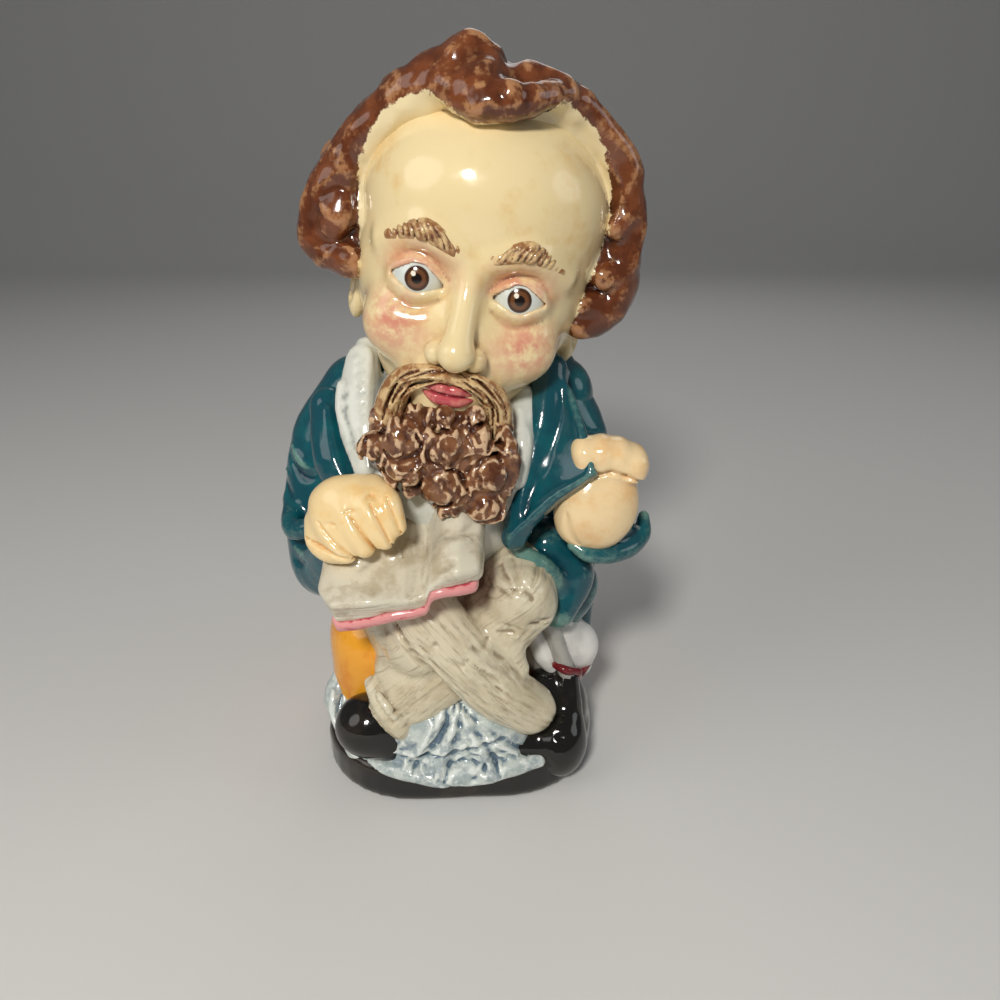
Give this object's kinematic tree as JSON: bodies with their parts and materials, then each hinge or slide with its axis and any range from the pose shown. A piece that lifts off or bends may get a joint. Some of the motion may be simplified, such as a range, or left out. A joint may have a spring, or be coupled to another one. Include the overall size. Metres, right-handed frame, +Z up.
{
  "type": "toby jug",
  "caption": "Small hollow ceramic jug in the form of a seated bearded man with an oversized leaning head, an open book, one raised fist and a loop handle behind.",
  "frame": {"origin": "centre of the flat underside of the foot", "axes": "+Z up through the head, -Y out of the figure's face and +Y to the handle, +X to the figure's left hand"},
  "size_m": [0.0748, 0.0898, 0.1399],
  "materials": {
    "glaze": "glossy hand-painted glaze over cast earthenware"
  },
  "bodies": {
    "root": {"jug": "glaze"}
  },
  "joints": []
}
